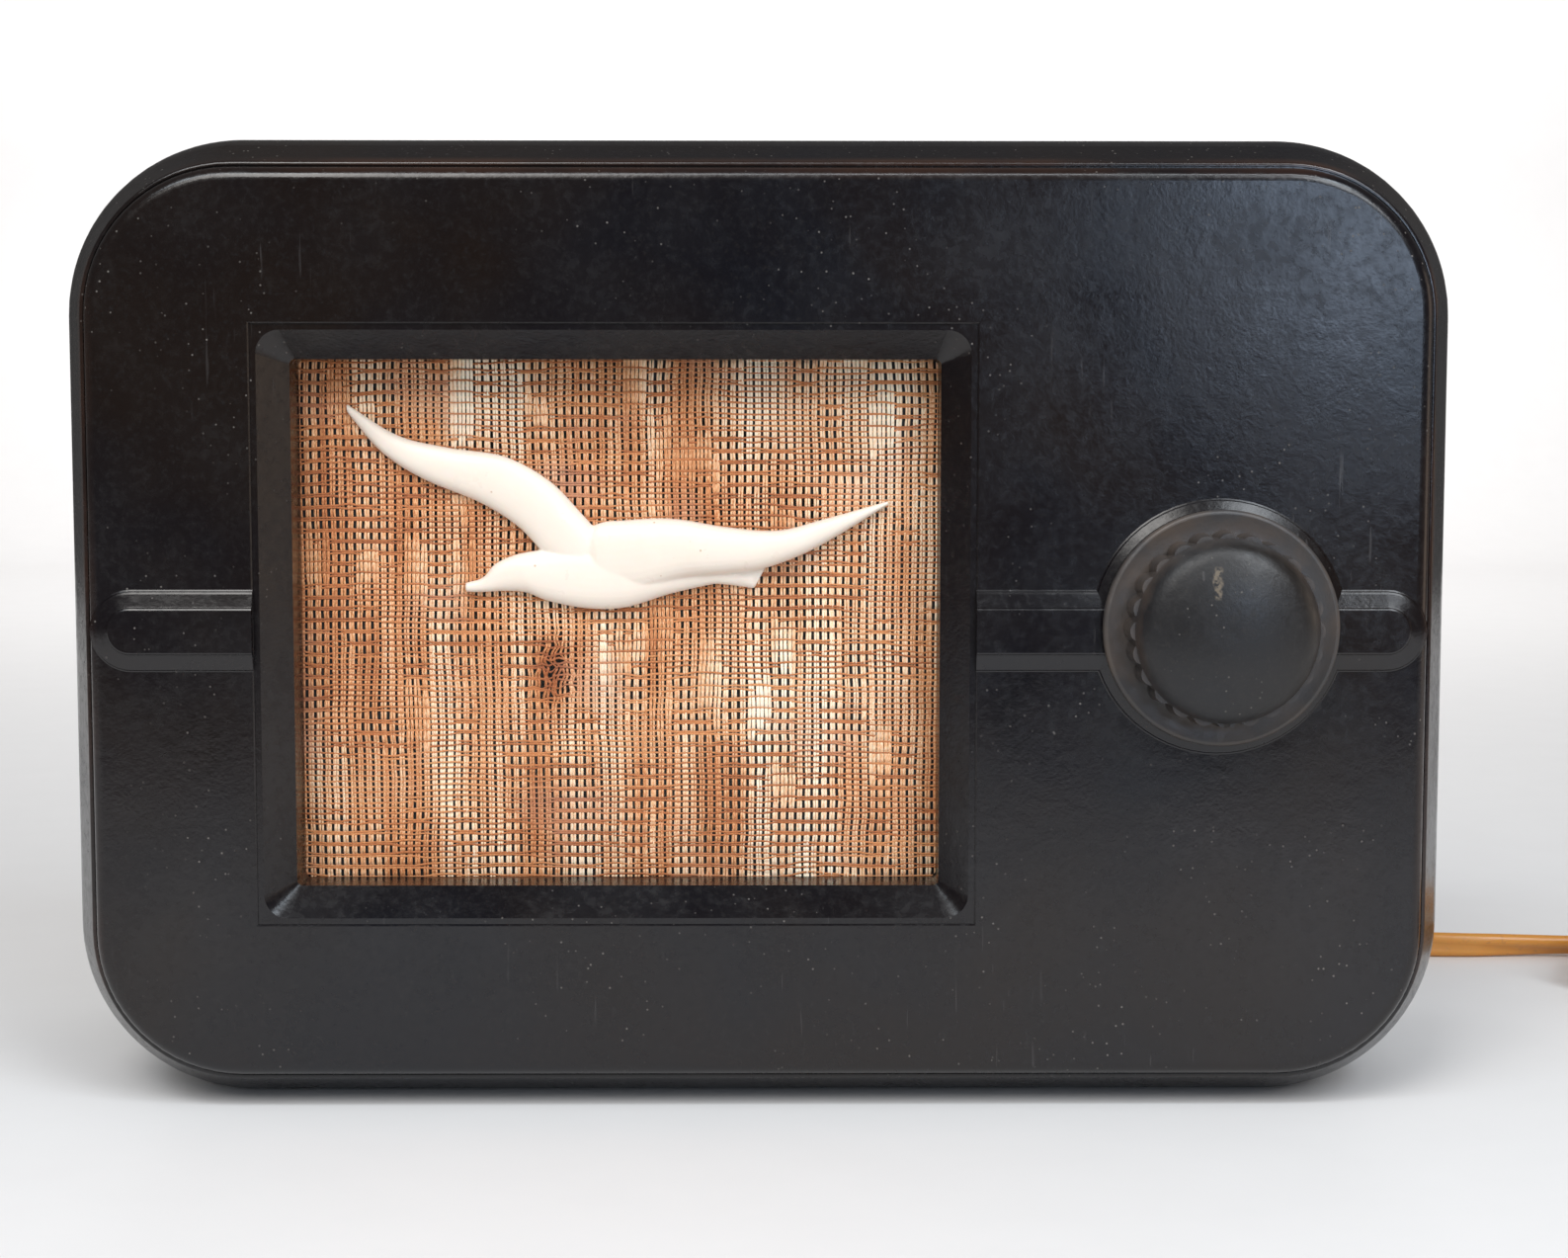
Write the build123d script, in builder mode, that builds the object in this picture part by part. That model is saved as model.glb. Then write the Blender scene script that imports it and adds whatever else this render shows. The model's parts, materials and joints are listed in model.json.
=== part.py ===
"""Tabletop wired radio: a black Bakelite case with a cloth grille, a gull relief, one volume knob,
a moving-coil loudspeaker, a matching transformer and a flat twin cord that ends in a two-pin plug.

Frame: +X to the right, +Y to the back, +Z up. The origin is under the middle of the set, on the table.
Depths are counted backwards from the flat front face, heights upwards from the table, all in millimetres.
"""

from build123d import *
import os
from math import atan2, cos, degrees, pi, radians, sin, tan

# ---------------------------------------------------------------- driving dimensions
CASE_W = 250.0          # width over the sides
CASE_H = 174.0          # height
CASE_D = 82.5           # front face to back edge
KNOB_OUT = 14.5         # knob's crown in front of the face
FACE_Y = (KNOB_OUT - CASE_D) / 2
CORNER_R = 32.0         # outer corner of the case
WALL = 3.2              # side walls
PANEL = 3.3             # front panel
PLATE_INSET = 6.2       # raised front plate inside the outline
LEDGE_DEPTH = 3.2       # front ledge round the plate
LEDGE_INSET = 5.2
FLARE_DEPTH = 14.0      # where the shoulder reaches the full width
PLATE_FILLET = 2.4
MID_Z = 87.2            # middle height of window, knob and speaker
RIB_Z = 86.5
RIB_W = 14.6
RIB_OUT = 1.6           # height of rib and knob boss over the face
RIB_PROFILE = [(0, 0), (0.25, 0.12), (0.42, 0.42), (0.75, 0.56), (2.9, 1.12), (3.1, 1.18), (3.25, 1.45),
               (3.55, RIB_OUT)]     # inset and height: a riser, a sloping band, a second riser, the flat
KNOB_X = 81.3
KNOB_BOSS_R = 22.8
BOSS_PROFILE = [(0, 0), (0.25, 0.12), (0.45, 0.5), (0.85, 0.68), (1.9, 1.15), (3.4, RIB_OUT)]
WINDOW_X = -25.6
WINDOW_W = 127.9        # outer line of the window recess
WINDOW_H = 106.7
OPENING_W = 115.7       # clear opening with the cloth behind it
OPENING_H = 94.5
STEP_DEPTH = 0.45
STEP_W = 1.1
STEP_CHAMFER = 0.25
BEVEL_DEPTH = 5.5
FRAME_DEPTH = 14.6      # back of the window frame, where the cloth lies
CLOTH_T = 0.8
BOARD_T = 4.0
BOARD_W = 150.0
BOARD_H = 126.0
BOARD_HOLE_R = 42.0
COVER_T = 2.6
COVER_INSET = 2.4       # back cover's outer face inside the case's back edge
COVER_GAP = 0.3
SPEAKER_R = 52.0
SHAFT_R = 3.0
RUNNING_GAP = 0.05
SCREW_R = 1.5
CORD_W = 5.6            # width of the flat twin cord
CORD_T = 2.8
LEAD_R = 0.8            # hook-up wire

BOARD_DEPTH = FRAME_DEPTH + CLOTH_T
BOARD_BACK = BOARD_DEPTH + BOARD_T
COVER_DEPTH = CASE_D - COVER_INSET - COVER_T
CENTRE_Z = CASE_H / 2
BOARD_POSTS = [(WINDOW_X + sx * 68, MID_Z + sz * 56) for sx in (-1, 1) for sz in (-1, 1)]
CASE_POSTS = [(sx * 110.5, CENTRE_Z + sz * 72.5) for sx in (-1, 1) for sz in (-1, 1)]
TRANSFORMER = (82.0, 36.0)
TRANSFORMER_FEET = [(TRANSFORMER[0] + sx * 28, TRANSFORMER[1]) for sx in (-1, 1)]
CORD_EXIT = (88.0, 20.0)

os.makedirs("parts", exist_ok=True)


def at_depth(depth):
    """A plane across the set; its own normal points to the front, so a negative extrude runs backwards."""
    return Plane(origin=(0, FACE_Y + depth, 0), x_dir=(1, 0, 0), z_dir=(0, -1, 0))


def turning(x, z):
    """A plane for turned profiles about a front-to-back axis: local x is the radius, local y the depth."""
    return Plane(origin=(x, FACE_Y, z), x_dir=(1, 0, 0), z_dir=(0, 0, 1))


def turning_axis(x, z):
    return Axis((x, FACE_Y, z), (0, 1, 0))


def save(piece, name):
    piece.part.label = name
    export_step(piece.part, f"parts/{name}.step")


# ---------------------------------------------------------------- front case
flare_taper = degrees(atan2(LEDGE_INSET, FLARE_DEPTH - LEDGE_DEPTH))
cavity_inset = WALL + (FLARE_DEPTH - PANEL) * tan(radians(flare_taper))

with BuildPart() as front_case:
    with BuildSketch(at_depth(FLARE_DEPTH)):
        with Locations((0, CENTRE_Z)):
            RectangleRounded(CASE_W, CASE_H, CORNER_R)
    extrude(amount=-(CASE_D - FLARE_DEPTH))
    extrude(front_case.faces().sort_by(Axis.Y)[0], amount=FLARE_DEPTH - LEDGE_DEPTH, taper=flare_taper)
    shoulder = front_case.edges().filter_by(lambda e: abs(e.center().Y - FACE_Y - FLARE_DEPTH) < 0.01)
    fillet(shoulder, 16)
    ledge_edge = front_case.faces().sort_by(Axis.Y)[0].edges()
    fillet(ledge_edge, 0.6)
    # raised front plate with its rounded edge and the fine groove round it
    with BuildSketch(at_depth(LEDGE_DEPTH)):
        with Locations((0, CENTRE_Z)):
            RectangleRounded(CASE_W - 2 * PLATE_INSET, CASE_H - 2 * PLATE_INSET, CORNER_R - PLATE_INSET)
    extrude(amount=LEDGE_DEPTH)
    fillet(front_case.faces().sort_by(Axis.Y)[0].edges(), PLATE_FILLET)
    groove_w = 0.45
    with BuildSketch(at_depth(LEDGE_DEPTH)):
        with Locations((0, CENTRE_Z)):
            RectangleRounded(CASE_W - 2 * (PLATE_INSET - groove_w), CASE_H - 2 * (PLATE_INSET - groove_w),
                             CORNER_R - PLATE_INSET + groove_w)
            RectangleRounded(CASE_W - 2 * PLATE_INSET, CASE_H - 2 * PLATE_INSET, CORNER_R - PLATE_INSET,
                             mode=Mode.SUBTRACT)
    extrude(amount=-0.5, mode=Mode.SUBTRACT)
    # hollow inside, following the flared shoulder
    with BuildSketch(at_depth(FLARE_DEPTH)) as cavity:
        with Locations((0, CENTRE_Z)):
            RectangleRounded(CASE_W - 2 * WALL, CASE_H - 2 * WALL, CORNER_R - WALL)
    extrude(amount=-(CASE_D - FLARE_DEPTH), mode=Mode.SUBTRACT)
    extrude(cavity.sketch, amount=FLARE_DEPTH - PANEL, taper=flare_taper, mode=Mode.SUBTRACT)
    # window frame behind the panel
    with BuildSketch(at_depth(PANEL)):
        with Locations((WINDOW_X, MID_Z)):
            Rectangle(WINDOW_W + 6, WINDOW_H + 6)
    extrude(amount=-(BEVEL_DEPTH + 2.9 - PANEL))
    with BuildSketch(at_depth(PANEL)):
        with Locations((WINDOW_X, MID_Z)):
            Rectangle(OPENING_W + 5.6, OPENING_H + 5.6)
    extrude(amount=-(FRAME_DEPTH - PANEL))
    # posts for the board, the transformer and the back cover
    with BuildSketch(at_depth(PANEL - 0.2)):
        with Locations(*BOARD_POSTS):
            Circle(4)
    extrude(amount=-(BOARD_DEPTH - PANEL + 0.2))
    with BuildSketch(at_depth(PANEL - 0.2)):
        with Locations(*TRANSFORMER_FEET):
            Circle(3.5)
    extrude(amount=-(13 - PANEL + 0.2))
    with BuildSketch(at_depth(20)):
        with Locations(*CASE_POSTS):
            Circle(4.5)
    extrude(amount=-(COVER_DEPTH - 20))
    # stepped rib band, running behind the window and the knob
    rib_length = CASE_W - 2 * (PLATE_INSET + 0.4)
    with BuildSketch(at_depth(2)):
        with Locations((0, RIB_Z)):
            SlotOverall(rib_length, RIB_W)
    extrude(amount=2)
    for inset, height in RIB_PROFILE:
        with BuildSketch(at_depth(-height)):
            with Locations((0, RIB_Z)):
                SlotOverall(rib_length - 2 * inset, RIB_W - 2 * inset)
    loft(ruled=True)
    # round boss under the knob, with the same stepped edge
    with BuildSketch(turning(KNOB_X, MID_Z)):
        with BuildLine():
            Polyline((0, 1), (KNOB_BOSS_R, 1), *[(KNOB_BOSS_R - inset, -height) for inset, height in BOSS_PROFILE],
                     (0, -RIB_OUT), close=True)
        make_face()
    revolve(axis=turning_axis(KNOB_X, MID_Z))
    # window recess: a sharp outer step, a bevel with round outer corners, then the straight opening
    with BuildSketch(at_depth(-RIB_OUT - 1)):
        with Locations((WINDOW_X, MID_Z)):
            Rectangle(WINDOW_W, WINDOW_H)
    extrude(amount=-(RIB_OUT + 1 + STEP_DEPTH), mode=Mode.SUBTRACT)
    for depth, chamfer_w in ((0, STEP_CHAMFER), (STEP_CHAMFER, 0)):
        with BuildSketch(at_depth(depth)):
            with Locations((WINDOW_X, MID_Z)):
                Rectangle(WINDOW_W + 2 * chamfer_w, WINDOW_H + 2 * chamfer_w)
    loft(mode=Mode.SUBTRACT)
    with BuildSketch(at_depth(STEP_DEPTH)):
        with Locations((WINDOW_X, MID_Z)):
            RectangleRounded(WINDOW_W - 2 * STEP_W, WINDOW_H - 2 * STEP_W, 4.2)
    with BuildSketch(at_depth(BEVEL_DEPTH)):
        with Locations((WINDOW_X, MID_Z)):
            RectangleRounded(OPENING_W, OPENING_H, 1.0)
    loft(mode=Mode.SUBTRACT)
    with BuildSketch(at_depth(BEVEL_DEPTH)):
        with Locations((WINDOW_X, MID_Z)):
            RectangleRounded(OPENING_W, OPENING_H, 1.0)
    extrude(amount=-(FRAME_DEPTH - BEVEL_DEPTH + 1), mode=Mode.SUBTRACT)
    # holes: bush of the volume control, and screw pilots in the posts
    with BuildSketch(at_depth(-RIB_OUT - 1)):
        with Locations((KNOB_X, MID_Z)):
            Circle(5.1)
    extrude(amount=-(RIB_OUT + 2 + PANEL), mode=Mode.SUBTRACT)
    with BuildSketch(at_depth(BOARD_DEPTH)):
        with Locations(*BOARD_POSTS):
            Circle(SCREW_R)
    extrude(amount=8, mode=Mode.SUBTRACT)
    with BuildSketch(at_depth(13)):
        with Locations(*TRANSFORMER_FEET):
            Circle(SCREW_R)
    extrude(amount=7, mode=Mode.SUBTRACT)
    with BuildSketch(at_depth(COVER_DEPTH)):
        with Locations(*CASE_POSTS):
            Circle(SCREW_R)
    extrude(amount=12, mode=Mode.SUBTRACT)
save(front_case, "front_case")

# ---------------------------------------------------------------- grille cloth, board and gull
GULL_DEPTH = FRAME_DEPTH - 0.1
GULL_T = 3.6
GULL_PINS = [(-62.0, 117.0), (16.0, 105.3)]
PIN_R = 1.0

with BuildPart() as grille_cloth:
    with BuildSketch(at_depth(FRAME_DEPTH)):
        with Locations((WINDOW_X, MID_Z)):
            Rectangle(OPENING_W + 8, OPENING_H + 8)
        with Locations(*GULL_PINS):
            Circle(PIN_R, mode=Mode.SUBTRACT)
    extrude(amount=-CLOTH_T)
save(grille_cloth, "grille_cloth")

with BuildPart() as baffle_board:
    with BuildSketch(at_depth(BOARD_DEPTH)):
        with Locations((WINDOW_X, MID_Z)):
            RectangleRounded(BOARD_W, BOARD_H, 3)
            Circle(BOARD_HOLE_R, mode=Mode.SUBTRACT)
        with Locations(*BOARD_POSTS):
            Circle(SCREW_R, mode=Mode.SUBTRACT)
    extrude(amount=-BOARD_T)
    with BuildSketch(at_depth(BOARD_DEPTH)):
        with Locations(*GULL_PINS):
            Circle(PIN_R)
    extrude(amount=-3, mode=Mode.SUBTRACT)
    with BuildSketch(at_depth(BOARD_BACK)):
        with Locations((WINDOW_X, MID_Z)):
            with PolarLocations(48, 4, start_angle=45):
                Circle(SCREW_R)
    extrude(amount=3, mode=Mode.SUBTRACT)
save(baffle_board, "baffle_board")

# The gliding gull: two long wings, a deep breast, a small head with a bill and a short tail.
with BuildPart() as gull_ornament:
    with BuildSketch(at_depth(GULL_DEPTH)):
        with BuildLine():
            Spline((-74.0, 125.5), (-65.0, 120.4), (-55.0, 118.2), (-45.5, 116.6), (-37.0, 111.2),
                   (-30.2, 104.9))
            Spline((-30.2, 104.9), (-19.0, 105.9), (-6.0, 104.2), (4.0, 103.8), (13.0, 106.4), (23.4, 109.0))
            Spline((23.4, 109.0), (13.3, 102.1), (1.0, 96.6))
            Polyline((1.0, 96.6), (-1.4, 93.3), (-5.6, 93.9))
            Spline((-5.6, 93.9), (-13.0, 93.9), (-25.0, 89.5), (-36.5, 89.9), (-42.6, 92.5))
            Polyline((-42.6, 92.5), (-53.0, 93.0), (-49.6, 95.2))
            Spline((-49.6, 95.2), (-46.6, 98.7), (-40.2, 100.4))
            Spline((-40.2, 100.4), (-43.2, 104.6), (-51.5, 109.6), (-62.0, 114.4), (-69.4, 119.6),
                   (-74.0, 125.5))
        make_face()
    extrude(amount=GULL_T)
    with BuildSketch(at_depth(GULL_DEPTH)):
        with Locations(*GULL_PINS):
            Circle(PIN_R)
    extrude(amount=-(CLOTH_T + 0.1 + 2.9))
save(gull_ornament, "gull_ornament")


def pan_screws(spots, seat_depth, shank, head_r=3.2, head_h=2.0):
    """Slotted pan-head screws: each head sits behind its seat and its shank runs to the front."""
    with BuildPart() as screws:
        with BuildSketch(at_depth(seat_depth)):
            with Locations(*spots):
                Circle(head_r)
        extrude(amount=-head_h)
        fillet(screws.faces().filter_by(Axis.Y).group_by(Axis.Y)[-1].edges(), head_h * 0.4)
        with BuildSketch(at_depth(seat_depth)):
            with Locations(*spots):
                Circle(SCREW_R)
        extrude(amount=shank)
        with BuildSketch(at_depth(seat_depth + head_h)):
            with Locations(*spots):
                Rectangle(head_r * 2, 0.8)
        extrude(amount=head_h * 0.4, mode=Mode.SUBTRACT)
    return screws


save(pan_screws(BOARD_POSTS, BOARD_BACK, BOARD_T + 7), "board_screws")

# ---------------------------------------------------------------- loudspeaker
SPEAKER_AXIS = turning_axis(WINDOW_X, MID_Z)
RIM_DEPTH = BOARD_BACK + 1.0
SPEAKER_SCREWS = [(WINDOW_X + 48 * cos(radians(a)), MID_Z + 48 * sin(radians(a))) for a in (45, 135, 225, 315)]
COIL_R = 10.2
POLE_R = 9.2


def turned(profile):
    """A ring or disc turned about the loudspeaker's axis from its half profile of (radius, depth) points."""
    with BuildPart() as ring:
        with BuildSketch(turning(WINDOW_X, MID_Z)):
            with BuildLine():
                Polyline(*profile, close=True)
            make_face()
        revolve(axis=SPEAKER_AXIS)
    return ring


with BuildPart() as speaker_gasket:
    with BuildSketch(at_depth(BOARD_BACK)):
        with Locations((WINDOW_X, MID_Z)):
            Circle(51.5)
            Circle(46.3, mode=Mode.SUBTRACT)
        with Locations(*SPEAKER_SCREWS):
            Circle(SCREW_R, mode=Mode.SUBTRACT)
    extrude(amount=-(RIM_DEPTH - BOARD_BACK))
save(speaker_gasket, "speaker_gasket")

with BuildPart() as speaker_basket:
    with BuildSketch(turning(WINDOW_X, MID_Z)):
        with BuildLine():
            Polyline((43.4, RIM_DEPTH), (SPEAKER_R, RIM_DEPTH), (SPEAKER_R, RIM_DEPTH + 1.2),
                     (44.2, RIM_DEPTH + 1.2), (26.6, 42.6), (25.2, 46), (11, 46), (11, 44.8), (21.6, 44.8),
                     (21.6, 41.8), (25, 41.8), close=True)
        make_face()
    revolve(axis=SPEAKER_AXIS)
    with BuildSketch(at_depth(25)):
        with Locations((WINDOW_X, MID_Z)):
            with PolarLocations(37, 4):
                Rectangle(26, 22)
    extrude(amount=-15, mode=Mode.SUBTRACT)
    with BuildSketch(at_depth(RIM_DEPTH)):
        with Locations(*SPEAKER_SCREWS):
            Circle(SCREW_R)
    extrude(amount=-2, mode=Mode.SUBTRACT)
save(speaker_basket, "speaker_basket")
save(pan_screws(SPEAKER_SCREWS, RIM_DEPTH + 1.2, 5.2, head_r=2.8, head_h=1.8), "speaker_screws")

save(turned([(10.6, 46), (22, 46), (22, 50), (10.6, 50)]), "magnet_front_plate")
save(turned([(12, 50), (23, 50), (23, 60), (12, 60)]), "speaker_magnet")
save(turned([(0, 46), (POLE_R, 46), (POLE_R, 60), (21.5, 60), (21.5, 64), (0, 64)]), "magnet_back_plate")
save(turned([(46, 20), (46, RIM_DEPTH), (42.6, RIM_DEPTH), (40.2, 23.9), (38.6, 23.9), (38.6, 23.4),
             (39.8, 23.4), (42.2, 20)]), "cone_surround")
save(turned([(COIL_R, 37.4), (COIL_R, 39.2), (37.2, 24.4), (38.6, 24.4), (38.6, 23.4), (36.9, 23.4)]),
     "paper_cone")
save(turned([(9.6, 38), (COIL_R, 38), (COIL_R, 54), (9.6, 54)]), "voice_coil")
save(turned([(0, 32.6), (5.5, 33.4), (9, 35.2), (11, 36.8), (10.4, 37.2), (8.6, 35.9), (5.2, 34.1), (0, 33.3)]),
     "dust_cap")
save(turned([(COIL_R, 41.2), (13, 40.6), (16, 41.2), (19, 40.6), (21.6, 41.2), (24.6, 41.2), (24.6, 41.8),
             (21.6, 41.8), (19, 41.2), (16, 41.8), (13, 41.2), (COIL_R, 41.8)]), "spider")

TAG_X = WINDOW_X + 48
with BuildPart() as speaker_terminals:
    with BuildSketch(at_depth(RIM_DEPTH + 1.2)):
        with Locations((TAG_X, MID_Z)):
            Rectangle(6.4, 16)
    extrude(amount=-1.5)
    with BuildSketch(at_depth(RIM_DEPTH + 2.7)):
        with Locations((TAG_X, MID_Z - 5), (TAG_X, MID_Z + 5)):
            Rectangle(0.6, 3)
    extrude(amount=-5)
save(speaker_terminals, "speaker_terminals")

# ---------------------------------------------------------------- matching transformer
CORE_D, CORE_T = 14.0, 14.0     # first depth and stack thickness
CORE_W, CORE_H = 42.0, 35.0
LEG_W, WINDOW_GAP = 12.0, 7.5

with BuildPart() as transformer_core:
    with BuildSketch(at_depth(CORE_D)):
        with Locations(TRANSFORMER):
            Rectangle(CORE_W, CORE_H)
            with GridLocations(LEG_W + WINDOW_GAP, 0, 2, 1):
                Rectangle(WINDOW_GAP, CORE_H - 14, mode=Mode.SUBTRACT)
    extrude(amount=-CORE_T)
save(transformer_core, "transformer_core")

with BuildPart() as transformer_coil:
    with BuildSketch(Plane(origin=(TRANSFORMER[0], FACE_Y + CORE_D + CORE_T / 2, TRANSFORMER[1]))):
        RectangleRounded(LEG_W + 2 * WINDOW_GAP - 0.4, CORE_T + 11, 3)
        Rectangle(LEG_W, CORE_T, mode=Mode.SUBTRACT)
    extrude(amount=(CORE_H - 14) / 2 - 0.2, both=True)
save(transformer_coil, "transformer_coil")

with BuildPart() as transformer_brackets:
    with BuildSketch(at_depth(13)):
        with Locations(TRANSFORMER):
            with PolarLocations(CORE_W / 2 + 5.5, 2):
                Rectangle(11, 12)
                with Locations((1.5, 0)):
                    Circle(SCREW_R, mode=Mode.SUBTRACT)
    extrude(amount=-1)
    with BuildSketch(at_depth(CORE_D)):
        with Locations(TRANSFORMER):
            with PolarLocations(CORE_W / 2 + 0.5, 2):
                Rectangle(1, 12)
    extrude(amount=-CORE_T)
save(transformer_brackets, "transformer_brackets")
save(pan_screws(TRANSFORMER_FEET, CORE_D, 7, head_r=2.8), "transformer_screws")

# ---------------------------------------------------------------- volume control
BUSH_R = 5.0
NUT_DEPTH = -RIB_OUT - 0.6
CONTROL_AXIS = turning_axis(KNOB_X, MID_Z)
CONTROL_BORE = SHAFT_R + RUNNING_GAP

with BuildPart() as control_body:
    with BuildSketch(turning(KNOB_X, MID_Z)):
        with BuildLine():
            Polyline((CONTROL_BORE, PANEL), (13, PANEL), (13, 15.3), (0, 15.3), (0, 14.3), (11.8, 14.3),
                     (11.8, 5.3), (CONTROL_BORE, 5.3), close=True)
        make_face()
    revolve(axis=CONTROL_AXIS)
    with BuildSketch(at_depth(6)):
        with Locations((KNOB_X, MID_Z - 12.9)):
            Rectangle(18, 1.8)
    extrude(amount=-4)
save(control_body, "control_body")

with BuildPart() as control_bush:
    with BuildSketch(at_depth(PANEL)):
        with Locations((KNOB_X, MID_Z)):
            Circle(BUSH_R)
            Circle(CONTROL_BORE, mode=Mode.SUBTRACT)
    extrude(amount=PANEL + 4.5)
save(control_bush, "control_bush")

with BuildPart() as bush_washer:
    with BuildSketch(at_depth(-RIB_OUT)):
        with Locations((KNOB_X, MID_Z)):
            Circle(7.5)
            Circle(BUSH_R, mode=Mode.SUBTRACT)
    extrude(amount=0.6)
save(bush_washer, "bush_washer")

with BuildPart() as bush_nut:
    with BuildSketch(at_depth(NUT_DEPTH)):
        with Locations((KNOB_X, MID_Z)):
            RegularPolygon(7, 6, major_radius=False)
            Circle(BUSH_R, mode=Mode.SUBTRACT)
    extrude(amount=2.2)
save(bush_nut, "bush_nut")

with BuildPart() as resistor_track:
    with BuildSketch(at_depth(5.3)):
        with Locations((KNOB_X, MID_Z)):
            Circle(11.4)
            Circle(8, mode=Mode.SUBTRACT)
    extrude(amount=-1.2)
save(resistor_track, "resistor_track")

with BuildPart() as control_terminals:
    with BuildSketch(at_depth(6.8)):
        with Locations((KNOB_X, MID_Z - 17.8)):
            Rectangle(18, 8)
    extrude(amount=-1.6)
    with BuildSketch(at_depth(8.4)):
        with Locations((KNOB_X, MID_Z - 18.8)):
            with GridLocations(6, 0, 3, 1):
                Rectangle(3, 5)
    extrude(amount=-0.6)
save(control_terminals, "control_terminals")

with BuildPart() as control_shaft:
    with BuildSketch(at_depth(9.6)):
        with Locations((KNOB_X, MID_Z)):
            Circle(SHAFT_R)
    extrude(amount=9.6 + 11.6)
    chamfer(control_shaft.faces().sort_by(Axis.Y)[0].edges(), 0.6)
save(control_shaft, "control_shaft")

with BuildPart() as control_wiper:
    with BuildSketch(at_depth(7.6)):
        with Locations((KNOB_X, MID_Z)):
            Circle(4.5)
            with Locations((0, 5)):
                RectangleRounded(4, 10, 1)
            Circle(SHAFT_R, mode=Mode.SUBTRACT)
    extrude(amount=-1.4)
save(control_wiper, "control_wiper")

# ---------------------------------------------------------------- volume knob
LOBES = 24
FLANGE_R = 20.9
GRIP_R = 16.3
LOBE_RING_R, LOBE_R = 15.0, 2.4
GRIP_TOP = 8.6
GRUB_R, GRUB_LONG, GRUB_OUT = 1.25, 10.0, 8.2

with BuildPart() as volume_knob:
    with BuildSketch(turning(KNOB_X, MID_Z)):
        with BuildLine():
            Line((0, -6.4), (0, -KNOB_OUT))
            ThreePointArc((0, -KNOB_OUT), (7, -14.1), (12.6, -12.8))
            ThreePointArc((12.6, -12.8), (15.1, -11.2), (GRIP_R, -GRIP_TOP))
            Line((GRIP_R, -GRIP_TOP), (GRIP_R, -3.4))
            ThreePointArc((GRIP_R, -3.4), (18.4, -3.35), (20.1, -3.75))
            ThreePointArc((20.1, -3.75), (20.7, -3.5), (FLANGE_R, -2.9))
            Polyline((FLANGE_R, -2.9), (FLANGE_R, -2.4), (20.5, -2), (13.5, -2), (13.5, -6.4), (0, -6.4))
        make_face()
    revolve(axis=CONTROL_AXIS)
    with BuildSketch(at_depth(-3.3)):
        with Locations((KNOB_X, MID_Z)):
            with PolarLocations(LOBE_RING_R, LOBES):
                Circle(LOBE_R)
    extrude(amount=GRIP_TOP - 2.6, taper=4)
    with BuildSketch(at_depth(-5)):
        with Locations((KNOB_X, MID_Z)):
            Circle(6)
    extrude(amount=1.6)
    with BuildSketch(at_depth(-4.9)):
        with Locations((KNOB_X, MID_Z)):
            Circle(SHAFT_R)
    extrude(amount=6.7, mode=Mode.SUBTRACT)
    with BuildSketch(Plane(origin=(KNOB_X, FACE_Y - GRUB_OUT, MID_Z - 1), z_dir=(0, 0, -1))):
        Circle(GRUB_R)
    extrude(amount=20, mode=Mode.SUBTRACT)
save(volume_knob, "volume_knob")

with BuildPart() as knob_grub_screw:
    with BuildSketch(Plane(origin=(KNOB_X, FACE_Y - GRUB_OUT, MID_Z - SHAFT_R), z_dir=(0, 0, -1))):
        Circle(GRUB_R)
    extrude(amount=GRUB_LONG)
    with BuildSketch(Plane(origin=(KNOB_X, FACE_Y - GRUB_OUT, MID_Z - SHAFT_R - GRUB_LONG))):
        Rectangle(2 * GRUB_R, 0.5)
    extrude(amount=0.8, mode=Mode.SUBTRACT)
save(knob_grub_screw, "knob_grub_screw")

# ---------------------------------------------------------------- back cover and cord entry
with BuildPart() as back_cover:
    with BuildSketch(at_depth(COVER_DEPTH)):
        with Locations((0, CENTRE_Z)):
            RectangleRounded(CASE_W - 2 * (WALL + COVER_GAP), CASE_H - 2 * (WALL + COVER_GAP),
                             CORNER_R - WALL - COVER_GAP)
        with Locations(*CASE_POSTS):
            Circle(1.7, mode=Mode.SUBTRACT)
        with Locations(CORD_EXIT):
            Circle(5, mode=Mode.SUBTRACT)
        with Locations((WINDOW_X, MID_Z)):
            for ring in range(1, 4):
                with PolarLocations(14.0 * ring, 8 * ring):
                    Circle(2.5, mode=Mode.SUBTRACT)
            Circle(2.5, mode=Mode.SUBTRACT)
        with Locations((TRANSFORMER[0], MID_Z + 20)):
            with GridLocations(0, 9, 1, 5):
                SlotOverall(36, 4, mode=Mode.SUBTRACT)
    extrude(amount=-COVER_T)
save(back_cover, "back_cover")
save(pan_screws(CASE_POSTS, CASE_D - COVER_INSET, 11, head_r=3.4), "back_screws")

BUSH_TIP = 104.0        # depth of the strain relief's tip
with BuildPart() as cord_bush:
    with BuildSketch(turning(*CORD_EXIT)):
        with BuildLine():
            Polyline((0, COVER_DEPTH - 1.6), (7, COVER_DEPTH - 1.6), (7, COVER_DEPTH), (5, COVER_DEPTH),
                     (5, COVER_DEPTH + COVER_T), (7.5, COVER_DEPTH + COVER_T), (7.5, COVER_DEPTH + COVER_T + 1.6),
                     (6, COVER_DEPTH + COVER_T + 2), (3.7, BUSH_TIP), (0, BUSH_TIP), close=True)
        make_face()
    revolve(axis=turning_axis(*CORD_EXIT))
save(cord_bush, "cord_bush")


def wires(routes, radius=LEAD_R, bend=3.0):
    """Round wires along bent routes given as (x, depth, z) points."""
    with BuildPart() as made:
        for route in routes:
            points = [(x, FACE_Y + depth, z) for x, depth, z in route]
            with BuildLine() as line:
                FilletPolyline(*points, radius=bend)
            with BuildSketch(Plane(line.wire() @ 0, z_dir=line.wire() % 0)):
                Circle(radius)
            sweep(path=line.wire())
    return made


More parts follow.
